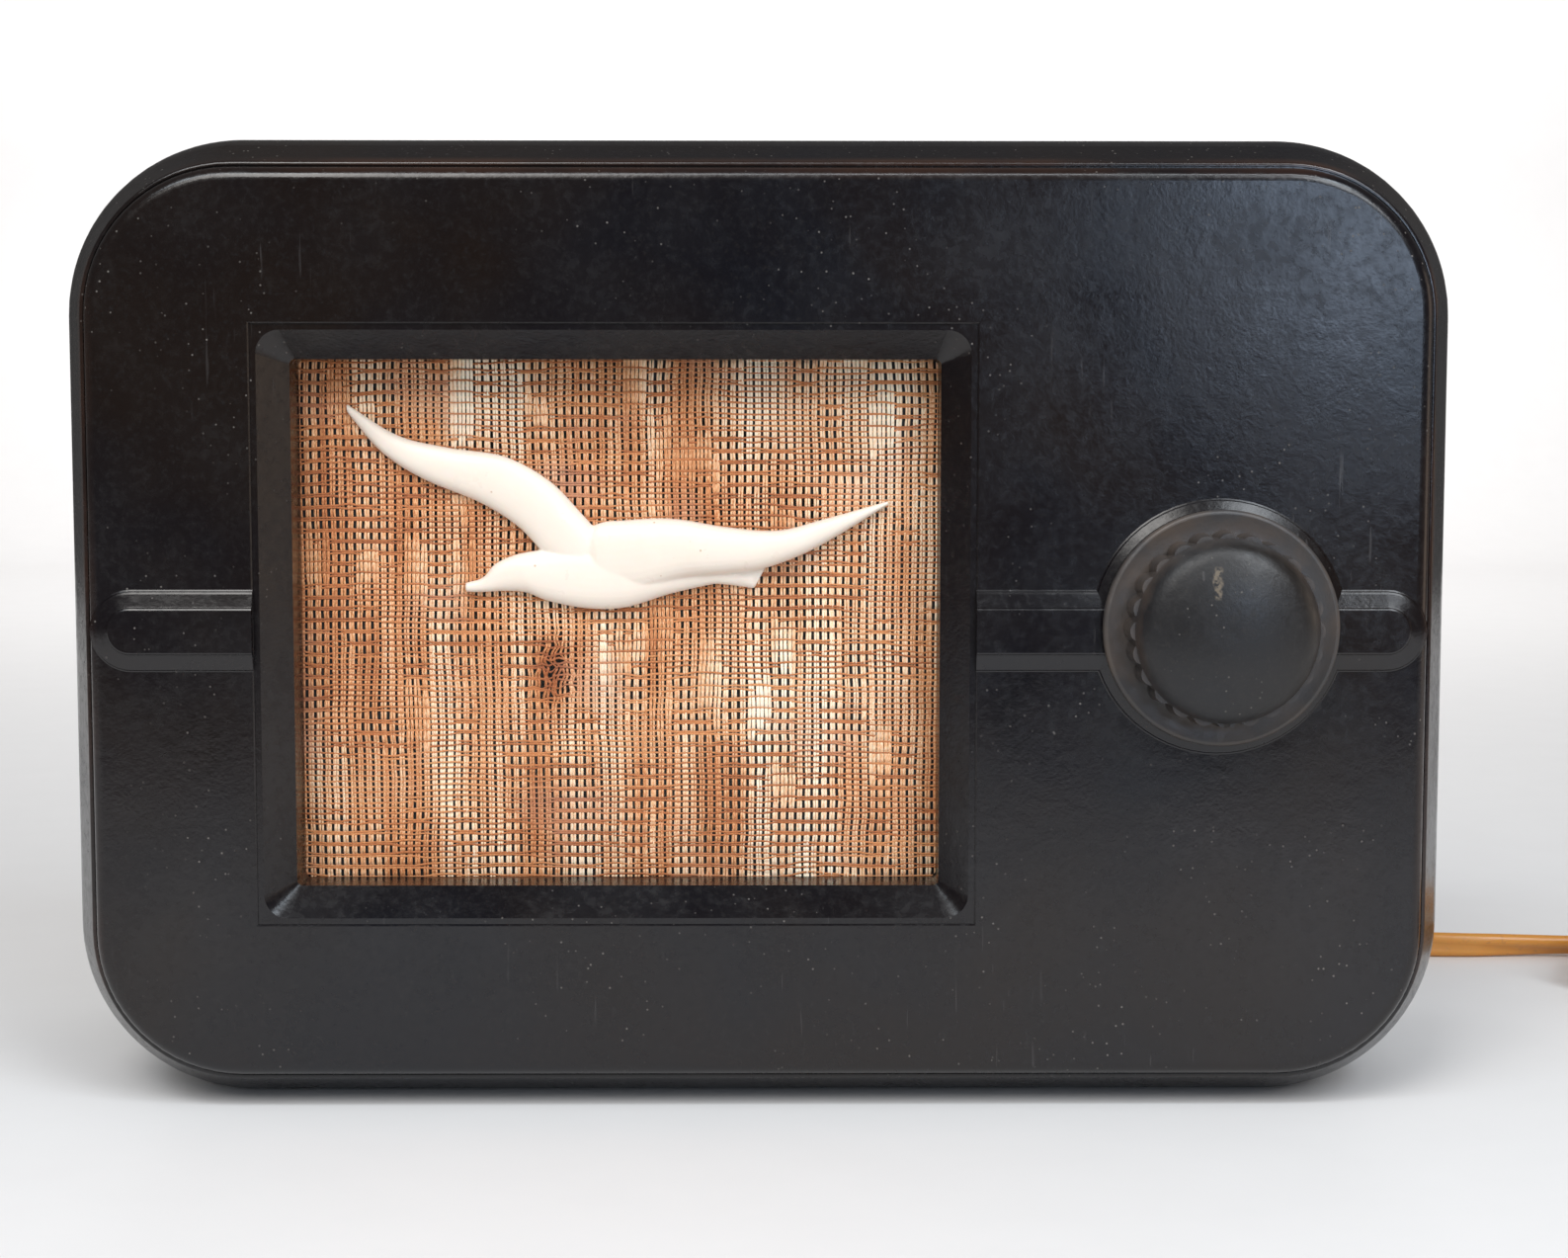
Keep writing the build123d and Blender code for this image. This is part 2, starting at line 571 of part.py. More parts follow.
COIL_BACK = CORE_D + CORE_T / 2 + (CORE_T + 11) / 2
LUG_END = RIM_DEPTH + 7.7
save(wires([
    [(CORD_EXIT[0] - 1.5, COVER_DEPTH - 1.6, 20), (CORD_EXIT[0] - 1.5, 60, 20), (78, 48, 30), (78, COIL_BACK, 30)],
    [(CORD_EXIT[0] + 1.5, COVER_DEPTH - 1.6, 20), (CORD_EXIT[0] + 1.5, 62, 20), (86, 50, 30), (86, COIL_BACK, 30)],
]), "input_leads")
save(wires([
    [(TAG_X, LUG_END, MID_Z - 5), (TAG_X, 38, MID_Z - 5), (50, 44, 70), (74, 44, 42), (74, COIL_BACK, 42)],
    [(TAG_X, LUG_END, MID_Z + 5), (TAG_X, 40, MID_Z + 5), (54, 49, 74), (79, 48, 42), (79, COIL_BACK, 42)],
]), "speaker_leads")
save(wires([
    [(KNOB_X - 6, 9, 67), (KNOB_X - 6, 20, 67), (76, 31, 60), (76, 31, 46.3)],
    [(KNOB_X, 9, 67), (KNOB_X, 19, 67), (82, 31, 58), (82, 31, 46.3)],
    [(KNOB_X + 6, 9, 67), (KNOB_X + 6, 20, 67), (88, 31, 60), (88, 31, 46.3)],
]), "control_leads")

# ---------------------------------------------------------------- cord, coil and plug on the table
CORD_R = CORD_W / 2
COIL_X, COIL_Y = 216.0, 60.5
TURN_R = (35.0, 24.7)       # outermost and innermost turn
TIE_T = 0.6
COIL_H = 2 * CORD_W + 0.6
CORD_ROUTE = [(88, FACE_Y + BUSH_TIP, 20), (88, 84, 20), (93.5, 98, 14.6), (108, 105.5, 6.4),
              (125, 104, 2.9), (142, 98.5, 2.8), (160, 95.2, 2.8), (178, 95.8, 2.8), (196, 95.3, 2.8),
              (212, 95.6, 3.2)]
TAIL_ROUTE = [(251.2, 58, 9.2), (251, 48, 8.2), (247.3, 37, 4.6), (240, 23, 7.5), (240, 8, 7.5)]


def tube(route, radius):
    """A round tube along straight runs joined by arcs as large as their runs allow."""
    runs = [Vector(*b) - Vector(*a) for a, b in zip(route, route[1:])]
    bends = []
    for before, after in zip(runs, runs[1:]):
        half_turn = radians(before.get_angle(after)) / 2
        bends.append(0.45 * min(before.length, after.length) / tan(half_turn))
    print("bend radii", [round(r, 1) for r in bends])
    with BuildPart() as made:
        with BuildLine() as line:
            FilletPolyline(*route, radius=bends)
        with BuildSketch(Plane(line.wire() @ 0, z_dir=line.wire() % 0)):
            Circle(radius)
        sweep(path=line.wire())
    print("length", round(line.wire().length, 1), "volume ratio",
          round(made.part.volume / (pi * radius**2 * line.wire().length), 4))
    return made


save(tube(CORD_ROUTE, CORD_R), "power_cord")
save(tube(TAIL_ROUTE, CORD_R), "cord_tail")

with BuildPart() as cord_coil:
    with BuildSketch(Plane.XY.offset(TIE_T)):
        with Locations((COIL_X, COIL_Y)):
            Circle(TURN_R[0] + CORD_T / 2)
            Circle(TURN_R[1] - CORD_T / 2, mode=Mode.SUBTRACT)
    extrude(amount=COIL_H)
    fillet(cord_coil.edges(), 1.2)
save(cord_coil, "cord_coil")

with BuildPart() as cord_tie:
    tie_x = COIL_X - sum(TURN_R) / 2 + 0.1
    tie_w = TURN_R[0] - TURN_R[1] + CORD_T + 0.7
    with BuildSketch(Plane.XZ.offset(-(COIL_Y + 3))):
        with Locations((tie_x, (COIL_H + 2 * TIE_T) / 2)):
            Rectangle(tie_w + 2 * TIE_T, COIL_H + 2 * TIE_T)
            Rectangle(tie_w, COIL_H, mode=Mode.SUBTRACT)
    extrude(amount=6)
save(cord_tie, "cord_tie")

PLUG_X, PLUG_Y, PLUG_Z = TAIL_ROUTE[-1]
PLUG_LONG = 34.0
PIN_SPACING = 19.0


def across_plug(behind):
    """A plane across the plug, that far from its cord end; its normal points along the pins, to the front."""
    return Plane(origin=(PLUG_X, PLUG_Y - behind, PLUG_Z), x_dir=(1, 0, 0), z_dir=(0, -1, 0))


with BuildPart() as plug_body:
    with BuildSketch(across_plug(0)):
        RectangleRounded(13, 11, 5)
    with BuildSketch(across_plug(PLUG_LONG * 0.6)):
        RectangleRounded(29, 2 * PLUG_Z, 6)
    loft()
    with BuildSketch(across_plug(PLUG_LONG * 0.6)):
        RectangleRounded(29, 2 * PLUG_Z, 6)
    extrude(amount=PLUG_LONG * 0.4)
    fillet(plug_body.faces().sort_by(Axis.Y)[0].edges(), 1.5)
    with BuildSketch(Plane(origin=(PLUG_X, PLUG_Y - 18, 2 * PLUG_Z - 4))):
        Circle(2)
    extrude(amount=6, mode=Mode.SUBTRACT)
save(plug_body, "plug_body")

with BuildPart() as plug_pins:
    with BuildSketch(across_plug(PLUG_LONG)):
        with GridLocations(PIN_SPACING, 0, 2, 1):
            Circle(2)
    extrude(amount=19)
    fillet(plug_pins.faces().filter_by(Axis.Y).group_by(Axis.Y)[0].edges(), 1.2)
save(plug_pins, "plug_pins")

with BuildPart() as plug_screw:
    with BuildSketch(Plane(origin=(PLUG_X, PLUG_Y - 18, 2 * PLUG_Z - 4))):
        Circle(2)
    extrude(amount=2.4)
    with BuildSketch(Plane(origin=(PLUG_X, PLUG_Y - 18, 2 * PLUG_Z - 1.6))):
        Rectangle(4, 0.7)
    extrude(amount=-0.8, mode=Mode.SUBTRACT)
save(plug_screw, "plug_screw")
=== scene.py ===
"""Looks of the tabletop radio: camera, light and table, then the flat twin cord, the woven cloth and
the carved gull, and a procedural material for every part. Lengths are in metres in the CAD frame,
except where a comment says millimetres."""

import json
import math

import bpy
import numpy as np
from mathutils import Matrix, Vector


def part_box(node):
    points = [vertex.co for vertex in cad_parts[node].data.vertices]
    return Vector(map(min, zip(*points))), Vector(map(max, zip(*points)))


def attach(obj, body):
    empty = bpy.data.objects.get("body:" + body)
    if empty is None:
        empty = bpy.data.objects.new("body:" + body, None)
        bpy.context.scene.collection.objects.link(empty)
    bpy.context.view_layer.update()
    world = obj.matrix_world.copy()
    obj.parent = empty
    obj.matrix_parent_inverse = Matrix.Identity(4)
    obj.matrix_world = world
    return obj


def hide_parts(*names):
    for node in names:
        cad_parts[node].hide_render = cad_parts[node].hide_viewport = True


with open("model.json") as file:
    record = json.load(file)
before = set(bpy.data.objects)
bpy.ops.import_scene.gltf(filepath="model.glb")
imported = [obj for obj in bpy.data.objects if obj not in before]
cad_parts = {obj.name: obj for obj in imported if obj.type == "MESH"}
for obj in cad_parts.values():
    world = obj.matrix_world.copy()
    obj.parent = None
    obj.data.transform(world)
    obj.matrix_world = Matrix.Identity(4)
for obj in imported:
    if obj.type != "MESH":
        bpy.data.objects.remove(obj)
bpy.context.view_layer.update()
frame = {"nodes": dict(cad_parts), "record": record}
nodes = frame["nodes"]
MM = 0.001

# ---------------------------------------------------------------- camera
SENSOR = 36.0
LENS = 58.32
NEAR_CLIP = 0.01
CAMERA_AT = (0.001, -0.482, 0.1244)
CAMERA_YAW, CAMERA_PITCH, CAMERA_ROLL = (math.radians(angle) for angle in (0.42, 4.79, 0.03))

camera_data = bpy.data.cameras.new("camera")
camera_data.lens = LENS
camera_data.sensor_width = SENSOR
camera_data.clip_start = NEAR_CLIP
camera = bpy.data.objects.new("camera", camera_data)
camera.matrix_world = (Matrix.Translation(CAMERA_AT) @ Matrix.Rotation(-CAMERA_YAW, 4, "Z")
                       @ Matrix.Rotation(math.pi / 2 - CAMERA_PITCH, 4, "X")
                       @ Matrix.Rotation(CAMERA_ROLL, 4, "Z"))
bpy.context.scene.collection.objects.link(camera)
bpy.context.scene.camera = camera
bpy.context.scene.view_settings.view_transform = "Standard"


# ---------------------------------------------------------------- helpers
def mesh_object(name, vertices, faces):
    """A smooth-shaded mesh, linked into the scene."""
    mesh = bpy.data.meshes.new(name)
    mesh.from_pydata([tuple(v) for v in vertices], [], [tuple(f) for f in faces])
    mesh.update()
    mesh.shade_smooth()
    made = bpy.data.objects.new(name, mesh)
    bpy.context.scene.collection.objects.link(made)
    return made


SWELL_GRID = 97


def swells(u, v, seed):
    """Smooth random values from -1 to 1 over a plane; one unit is the width of one swell."""
    size = SWELL_GRID
    grid = np.random.RandomState(seed).uniform(-1, 1, (size, size))
    iu, iv = np.floor(u).astype(int), np.floor(v).astype(int)
    fu, fv = u - iu, v - iv
    fu, fv = fu * fu * (3 - 2 * fu), fv * fv * (3 - 2 * fv)
    u0, u1, v0, v1 = iu % size, (iu + 1) % size, iv % size, (iv + 1) % size
    low = grid[u0, v0] * (1 - fu) + grid[u1, v0] * fu
    high = grid[u0, v1] * (1 - fu) + grid[u1, v1] * fu
    return low * (1 - fv) + high * fv


MIX_COLOUR_INPUTS, MIX_COLOUR_OUTPUT = (0, 6, 7), 2     # factor, A and B of a mix node set to colour


class Look:
    """A procedural material; its pattern is laid out in metres, in the piece's own space."""

    def __init__(self, name, colour, roughness, **sockets):
        self.material = bpy.data.materials.new(name)
        self.material.use_nodes = True
        self.tree = self.material.node_tree
        self.shader = self.tree.nodes["Principled BSDF"]
        self.shader.inputs["Base Color"].default_value = (*colour, 1)
        self.shader.inputs["Roughness"].default_value = roughness
        for socket, value in sockets.items():
            self.shader.inputs[socket.replace("_", " ")].default_value = value
        self.place = self.add("ShaderNodeTexCoord").outputs["Object"]
        self.height = None

    def add(self, kind, **inputs):
        node = self.tree.nodes.new(kind)
        for key, value in inputs.items():
            self.feed(node.inputs[key.replace("_", " ")], value)
        return node

    def feed(self, socket, value):
        if isinstance(value, bpy.types.NodeSocket):
            self.tree.links.new(value, socket)
        else:
            socket.default_value = value

    def stretched(self, stretch, turn=(0, 0, 0)):
        node = self.add("ShaderNodeMapping", Vector=self.place)
        node.inputs["Rotation"].default_value = [math.radians(a) for a in turn]
        node.inputs["Scale"].default_value = stretch
        return node.outputs["Vector"]

    def noise(self, size, detail=3.0, stretch=None, turn=(0, 0, 0), distortion=0.0):
        """Noise whose swells are size metres across."""
        where = self.place if stretch is None else self.stretched(stretch, turn)
        node = self.add("ShaderNodeTexNoise", Vector=where, Scale=1 / size, Detail=detail,
                        Distortion=distortion)
        return node.outputs["Fac"]

    def cell_distance(self, size):
        """Distance to the nearest of scattered points, in units of size metres."""
        return self.add("ShaderNodeTexVoronoi", Vector=self.place, Scale=1 / size).outputs["Distance"]

    def level(self, value, low, high, to_low=0.0, to_high=1.0):
        """The value with its range from low to high drawn out to the new range, and held at its ends."""
        node = self.add("ShaderNodeMapRange", Value=value)
        limits = {"From Min": low, "From Max": high, "To Min": to_low, "To Max": to_high}
        for key, number in limits.items():
            node.inputs[key].default_value = number
        return node.outputs["Result"]

    def maths(self, operation, a, b=0.0, clamp=False):
        node = self.tree.nodes.new("ShaderNodeMath")
        node.operation, node.use_clamp = operation, clamp
        self.feed(node.inputs[0], a)
        self.feed(node.inputs[1], b)
        return node.outputs[0]

    def blend(self, factor, a, b):
        """Colour a where the factor is 0, colour b where it is 1."""
        node = self.tree.nodes.new("ShaderNodeMix")
        node.data_type = "RGBA"
        for index, value in zip(MIX_COLOUR_INPUTS, (factor, a, b)):
            is_colour = isinstance(value, tuple) and len(value) == 3
            self.feed(node.inputs[index], (*value, 1) if is_colour else value)
        return node.outputs[MIX_COLOUR_OUTPUT]

    def axis(self, letter):
        return self.add("ShaderNodeSeparateXYZ", Vector=self.place).outputs[letter]

    def colour(self, value):
        self.feed(self.shader.inputs["Base Color"], value)
        return self

    def roughness(self, value):
        self.feed(self.shader.inputs["Roughness"], value)
        return self

    def shown(self):
        """What feeds the base colour so far."""
        return self.shader.inputs["Base Color"].links[0].from_socket

    def bump(self, height, depth):
        """Adds a relief of that depth in metres."""
        node = self.add("ShaderNodeBump", Height=height)
        node.inputs["Strength"].default_value = 1.0
        node.inputs["Distance"].default_value = depth
        if self.height is not None:
            self.tree.links.new(self.height, node.inputs["Normal"])
        self.height = node.outputs["Normal"]
        self.tree.links.new(self.height, self.shader.inputs["Normal"])
        return self


def dress(look, *pieces):
    for piece in pieces:
        piece.data.materials.clear()
        piece.data.materials.append(look.material)


def area_light(name, at, towards, width, height, watts, colour=(1, 1, 1)):
    data = bpy.data.lights.new(name, "AREA")
    data.shape, data.size, data.size_y = "RECTANGLE", width, height
    data.energy, data.color = watts, colour
    light = bpy.data.objects.new(name, data)
    light.location = at
    light.rotation_euler = (Vector(towards) - Vector(at)).to_track_quat("-Z", "Y").to_euler()
    bpy.context.scene.collection.objects.link(light)


# ---------------------------------------------------------------- floor, world and light
STAGE_HALF_WIDTH, STAGE_FRONT = 0.82, -0.44
BEND_START, BEND_RADIUS, BEND_STEPS, STAGE_TOP = 1.6, 0.35, 24, 0.57


def make_stage():
    """A pale table top that sweeps up into a backdrop."""
    profile = [(STAGE_FRONT, 0.0), (BEND_START, 0.0)]
    profile += [(BEND_START + BEND_RADIUS * math.sin(a), BEND_RADIUS * (1 - math.cos(a)))
                for a in np.linspace(0, math.pi / 2, BEND_STEPS)[1:]]
    profile.append((BEND_START + BEND_RADIUS, STAGE_TOP))
    vertices = [(x, y, z) for y, z in profile for x in (-STAGE_HALF_WIDTH, STAGE_HALF_WIDTH)]
    faces = [(2 * i, 2 * i + 1, 2 * i + 3, 2 * i + 2) for i in range(len(profile) - 1)]
    stage = mesh_object("stage", vertices, faces)
    look = Look("pale_table", (0.87, 0.86, 0.855), 0.55)
    look.colour(look.blend(look.noise(0.02, 5), (0.77, 0.762, 0.76), (0.80, 0.792, 0.79)))
    look.bump(look.noise(0.004, 4), 0.00005)
    dress(look, stage)


ROOM_SEEN, ROOM_LIGHT, ROOM_MIRRORED = 1.03, 0.50, 0.12
ROOM_COLOUR = (1.0, 0.99, 0.985)


def make_world():
    """The room is pale to look at and gives half that light, but polished parts mirror a dark one."""
    world = bpy.data.worlds.new("room")
    world.use_nodes = True
    tree = world.node_tree
    path = tree.nodes.new("ShaderNodeLightPath")
    strength = None
    for ray, light in (("Is Camera Ray", ROOM_SEEN), ("Is Diffuse Ray", ROOM_LIGHT)):
        part = tree.nodes.new("ShaderNodeMath")
        part.operation = "MULTIPLY_ADD"
        tree.links.new(path.outputs[ray], part.inputs[0])
        part.inputs[1].default_value = light - ROOM_MIRRORED
        part.inputs[2].default_value = ROOM_MIRRORED
        if strength is not None:
            tree.links.new(strength, part.inputs[2])
        strength = part.outputs[0]
    shade = tree.nodes["Background"]
    shade.inputs["Color"].default_value = (*ROOM_COLOUR, 1)
    tree.links.new(strength, shade.inputs["Strength"])
    bpy.context.scene.world = world


make_stage()
make_world()

COOL, PALE_BLUE, WARM = (0.90, 0.95, 1.0), (0.80, 0.90, 1.0), (1.0, 0.975, 0.94)
FACE = (0, -0.03, 0.09)
LAMPS = (       # name, place, what it is turned towards, width, height, watts, colour
    ("window_right", (0.60, -1.00, 0.86), FACE, 0.45, 0.60, 6.4, COOL),
    ("window_left", (-0.34, -0.92, 0.97), FACE, 0.45, 0.62, 6.9, WARM),
    ("corner_glow", (0.40, -1.05, 0.28), FACE, 0.26, 0.24, 1.3, (0.62, 0.77, 1.0)),
    ("edge_strip", (0, -0.61, 1.09), FACE, 1.0, 0.15, 3.8, COOL),
    ("rim_right", (0.62, -0.62, 1.05), FACE, 0.22, 0.22, 1.5, PALE_BLUE),
    ("rim_left", (-0.62, -0.62, 1.05), FACE, 0.22, 0.22, 1.5, (0.85, 0.93, 1.0)),
    ("right_wall", (1.25, -0.05, 0.22), (0.1, 0, 0.09), 0.6, 0.5, 1.0, (1.0, 0.80, 0.64)),
    ("backdrop", (0, 0.9, 1.3), (0, 1.9, 0.75), 1.8, 0.5, 22, (1.0, 0.985, 0.975)),
)
for lamp in LAMPS:
    area_light(*lamp)

# ---------------------------------------------------------------- the cord
CORD_W, CORD_T = 0.0056, 0.0028
COIL_CENTRE = (0.216, 0.0605)
COIL_OUT, COIL_IN = 0.035, 0.0247
LOWER_Z, UPPER_Z = 0.0034, 0.0090
COIL_TURNS = 7.25
POINTS_PER_TURN = 16
CLIMB_TURNS = 0.45
SECTION_ARC, SECTION_POINTS = 0.68 * math.pi, 11
# the route in millimetres: from the case down to the table and along to the coil, and on to the plug
LEAD_IN = [(88, 70, 20), (88, 84, 20), (93.5, 98, 14.6), (108, 105.5, 6.4), (125, 104, 2.9),
           (142, 98.5, 2.8), (160, 95.2, 2.8), (178, 95.8, 2.8), (196, 95.3, 2.8)]
TAIL = [(251, 48, 8.2), (247.3, 37, 4.6), (240, 23, 7.5), (240, 8, 7.5)]
# radians of roll, and where along the cord and over what length; 0 stands the flat cord on edge
ROLLS = ((1.15, 0.012, 0.02), (0.85, 0.128, 0.022), (-0.25, 0.075, 0.02))
PLUG_ROLL, PLUG_ROLL_REACH = 0.9, 0.02


def cord_route():
    """The lead from the case, the coil's turns, inwards below and outwards above, and the tail."""
    points = [[c * MM for c in p] for p in LEAD_IN]
    count = round(COIL_TURNS * POINTS_PER_TURN)
    reach = 1 / math.cos(math.pi / POINTS_PER_TURN)
    for i in range(count + 1):
        turned = i / POINTS_PER_TURN
        inward = 1 - abs(2 * i / count - 1)
        radius = (COIL_OUT + (COIL_IN - COIL_OUT) * inward) * reach
        climb = min(1, max(0, (turned - COIL_TURNS / 2) / CLIMB_TURNS + 0.5))
        angle = math.pi / 2 - 2 * math.pi * turned
        points.append([COIL_CENTRE[0] + radius * math.cos(angle),
                       COIL_CENTRE[1] + radius * math.sin(angle),
                       LOWER_Z + (UPPER_Z - LOWER_Z) * climb * climb * (3 - 2 * climb)])
    return points + [[c * MM for c in p] for p in TAIL]


def nurbs_line(points, steps=10):
    """Points along the smooth spline that the route's points control."""
    curve = bpy.data.curves.new("line", "CURVE")
    curve.dimensions = "3D"
    spline = curve.splines.new("NURBS")
    spline.points.add(len(points) - 1)
    for point, at in zip(spline.points, points):
        point.co = (*at, 1)
    spline.order_u = 3
    spline.use_endpoint_u = True
    spline.resolution_u = steps
    holder = bpy.data.objects.new("line", curve)
    bpy.context.scene.collection.objects.link(holder)
    mesh = bpy.data.meshes.new_from_object(holder)
    line = np.array([v.co for v in mesh.vertices])
    bpy.data.objects.remove(holder)
    bpy.data.curves.remove(curve)
    bpy.data.meshes.remove(mesh)
    return line


def make_cord():
    """The flat twin cord: two round cores side by side with a groove between."""
    line = nurbs_line(cord_route())
    along = np.concatenate([[0], np.cumsum(np.linalg.norm(np.diff(line, axis=0), axis=1))])
    tangent = np.gradient(line, axis=0)
    tangent /= np.linalg.norm(tangent, axis=1)[:, None]
    side = np.cross(tangent, (0, 0, 1.0))
    side /= np.linalg.norm(side, axis=1)[:, None]
    up = np.cross(side, tangent)
    roll = sum(turn * np.exp(-((along - at) / reach) ** 2) for turn, at, reach in ROLLS)
    roll += PLUG_ROLL * np.exp(-((along - along[-1]) / PLUG_ROLL_REACH) ** 2)
    wide = np.cos(roll)[:, None] * up + np.sin(roll)[:, None] * side
    thin = np.cross(tangent, wide)
    section = []
    radius, offset = CORD_T / 2, (CORD_W - CORD_T) / 2
    for sign in (1, -1):
        for a in np.linspace(-SECTION_ARC, SECTION_ARC, SECTION_POINTS):
            section.append((sign * (offset + radius * math.cos(a)), sign * radius * math.sin(a)))
    section = np.array(section)
    ring = len(section)
    vertices = (line[:, None] + section[None, :, 0, None] * wide[:, None]
                + section[None, :, 1, None] * thin[:, None])
    n = len(line)
    faces = [(i * ring + k, i * ring + (k + 1) % ring,
              (i + 1) * ring + (k + 1) % ring, (i + 1) * ring + k)
             for i in range(n - 1) for k in range(ring)]
    faces += [tuple(range(ring))[::-1], tuple((n - 1) * ring + k for k in range(ring))]
    cord = mesh_object("power_cord_flex", vertices.reshape(-1, 3), faces)
    # painted shade: a share that is 1 along the groove between the cores and 0 over their outer halves
    groove_shade_layer = cord.data.attributes.new("core", "FLOAT", "POINT")
    middle = 1 - np.clip(np.abs(section[:, 0]) / offset, 0, 1)
    groove_shade_layer.data.foreach_set("value", np.tile(middle, n).astype(np.float32))
    look = Look("amber_flex", (0.60, 0.26, 0.05), 0.34, Subsurface_Weight=0.25, Subsurface_Scale=0.002,
                Coat_Weight=0.25, Coat_Roughness=0.2)
    look.shader.inputs["Subsurface Radius"].default_value = (1.0, 0.45, 0.15)
    groove = look.add("ShaderNodeAttribute")
    groove.attribute_name = "core"
    base = look.blend(look.noise(0.012, 4), (0.68, 0.31, 0.055), (0.56, 0.23, 0.035))
    # painted shade: the colour turns darker and deeper amber along the groove between the cores
    base = look.blend(look.level(groove.outputs["Fac"], 0.35, 1.0, 0, 0.75), base, (0.42, 0.15, 0.025))
    base = look.blend(look.level(look.noise(0.0016, 2), 0.62, 0.75, 0, 0.5), base, (0.36, 0.17, 0.05))
    look.colour(base).roughness(look.level(look.noise(0.005, 4), 0.3, 0.7, 0.28, 0.45))
    look.bump(look.noise(0.0022, 3), 0.00008)
    dress(look, cord)
    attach(cord, "cabinet")
    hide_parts("power_cord", "cord_coil", "cord_tail")


make_cord()

# ---------------------------------------------------------------- the woven grille cloth
PAIR_PITCH, ROW_PITCH = 0.00149, 0.00103
PLAIN, OPEN, FLOATS = KINDS = (0, 1, 2)
KIND_SHARES = (0.46, 0.46, 0.08)
# millimetres for each kind: from the middle of a pair to its yarns, and half the width of a yarn
PAIR_SPREAD, WARP_HALF = (0.275, 0.255, 0.35), (0.245, 0.225, 0.30)
WARP_BULGE, WEFT_BULGE = 0.16, 0.10
SNAG, SNAG_REACH = (-0.0377, 0.0778), (0.0034, 0.0062)
WEFT_MARGIN = 0.0003


def woven_pattern(pairs, rows):
    """The kind of weave of each pair of warp yarns at each row, in blocks three pairs wide.
    OPEN gathers the weft two by two and leaves tall holes; FLOATS hides every other weft."""
    rng = np.random.RandomState(21)
    kind = np.zeros((pairs, rows), int)
    for column in range(0, pairs, 3):
        row = -rng.randint(0, 8)
        while row < rows:
            tall = 2 * rng.randint(2, 6)
            kind[column:column + 3, max(row, 0):max(row + tall, 0)] = rng.choice(3, p=KIND_SHARES)
            row += tall
    shifts = 2 * rng.randint(-1, 2, pairs)
    return np.array([np.roll(lane, shift) for lane, shift in zip(kind, shifts)])


def running_mean(rows, reach):
    """Every row smoothed over that many neighbours on both sides."""
    count = 2 * reach + 1
    return np.apply_along_axis(
        lambda row: np.convolve(np.pad(row, reach, "edge"), np.ones(count) / count, "valid"), 1, rows)


def snagged(x, z):
    """1 in the middle of the pulled threads, fading to 0 around them."""
    return np.exp(-(((x - SNAG[0]) / SNAG_REACH[0]) ** 2 + ((z - SNAG[1]) / SNAG_REACH[1]) ** 2))


def wander(x, z):
    """Sideways drift of the warp."""
    drift = 0.00030 * swells(x / 0.009, z / 0.014, 3) + 0.00010 * swells(x / 0.0026, z / 0.0032, 4)
    drift = drift + 0.0009 * snagged(x, z) * swells(x / 0.0011, z / 0.0014, 6)
    parting = np.sign(x - SNAG[0]) * np.minimum(1, np.abs(x - SNAG[0]) / 0.001)
    return drift + 0.0003 * snagged(x, z) * parting


def sag(x, z):
    """Drift of the weft up and down."""
    drift = 0.00045 * swells(x / 0.011, z / 0.008, 8) + 0.00008 * swells(x / 0.0022, z / 0.001, 9)
    return drift + 0.0010 * snagged(x, z) * swells(x / 0.0016, z / 0.0007, 10)


def ribbons(name, centre, across, half, bulge):
    """Yarns as ribbons three points wide, with a raised middle.
    centre is (yarns, steps, 3) and across is the direction of the width."""
    yarns, steps = centre.shape[:2]
    edge = across[None, None] * half[..., None]
    sunk = np.array((0, 1.0, 0)) * bulge
    vertices = np.stack([centre - edge + sunk, centre, centre + edge + sunk], 2).reshape(-1, 3)
    index = np.arange(yarns * steps * 3).reshape(yarns, steps, 3)
    faces = np.concatenate([
        np.stack([index[:, :-1, k], index[:, :-1, k + 1], index[:, 1:, k + 1], index[:, 1:, k]],
                 -1).reshape(-1, 4)
        for k in (0, 1)])
    return mesh_object(name, vertices, faces)


def make_warp(kind, left, bottom, front_y, thick):
    """The yarns that run up: three points to a row, one at the weft and two between."""
    pairs, rows = kind.shape[0], kind.shape[1] - 1
    step = np.arange(3 * rows + 1)
    row, phase = step // 3, step % 3
    yarn = np.arange(2 * pairs)
    sort = kind[yarn // 2][:, np.minimum(row, rows)]
    soft = np.stack([running_mean((sort == k).astype(float), 4) for k in KINDS])
    spread = np.tensordot(PAIR_SPREAD, soft, 1) * MM
    z = np.broadcast_to(bottom + step * ROW_PITCH / 3, sort.shape)
    x = left + (yarn[:, None] // 2 + 0.5) * PAIR_PITCH + np.where(yarn[:, None] % 2, 1, -1) * spread
    thickness = 1 + 0.16 * swells(yarn[:, None] * 0.9, z / 0.012, 14)
    half = np.tensordot(WARP_HALF, soft, 1) * MM * thickness
    between = (row % 2 == 1) & (phase > 0)
    at_weft = (phase == 0) & ((sort == PLAIN) | (row % 2 == 0))
    under = np.where(sort == OPEN, between, at_weft)
    y = front_y + thick * (0.22 + 0.34 * under + 0.05 * swells(x / 0.004, z / 0.003, 15))
    warp = ribbons("grille_cloth_warp", np.stack([x + wander(x, z), y, z], -1),
                   np.array((1.0, 0, 0)), half, WARP_BULGE * MM)
    streak = swells(x / 0.0065, z / 0.045, 31) + 0.7 * swells(x / 0.0022, z / 0.02, 32)
    patch = swells(x / 0.02, z / 0.018, 33)
    paint_yarn(warp, np.stack([streak, patch, snagged(x, z)], -1))
    return warp


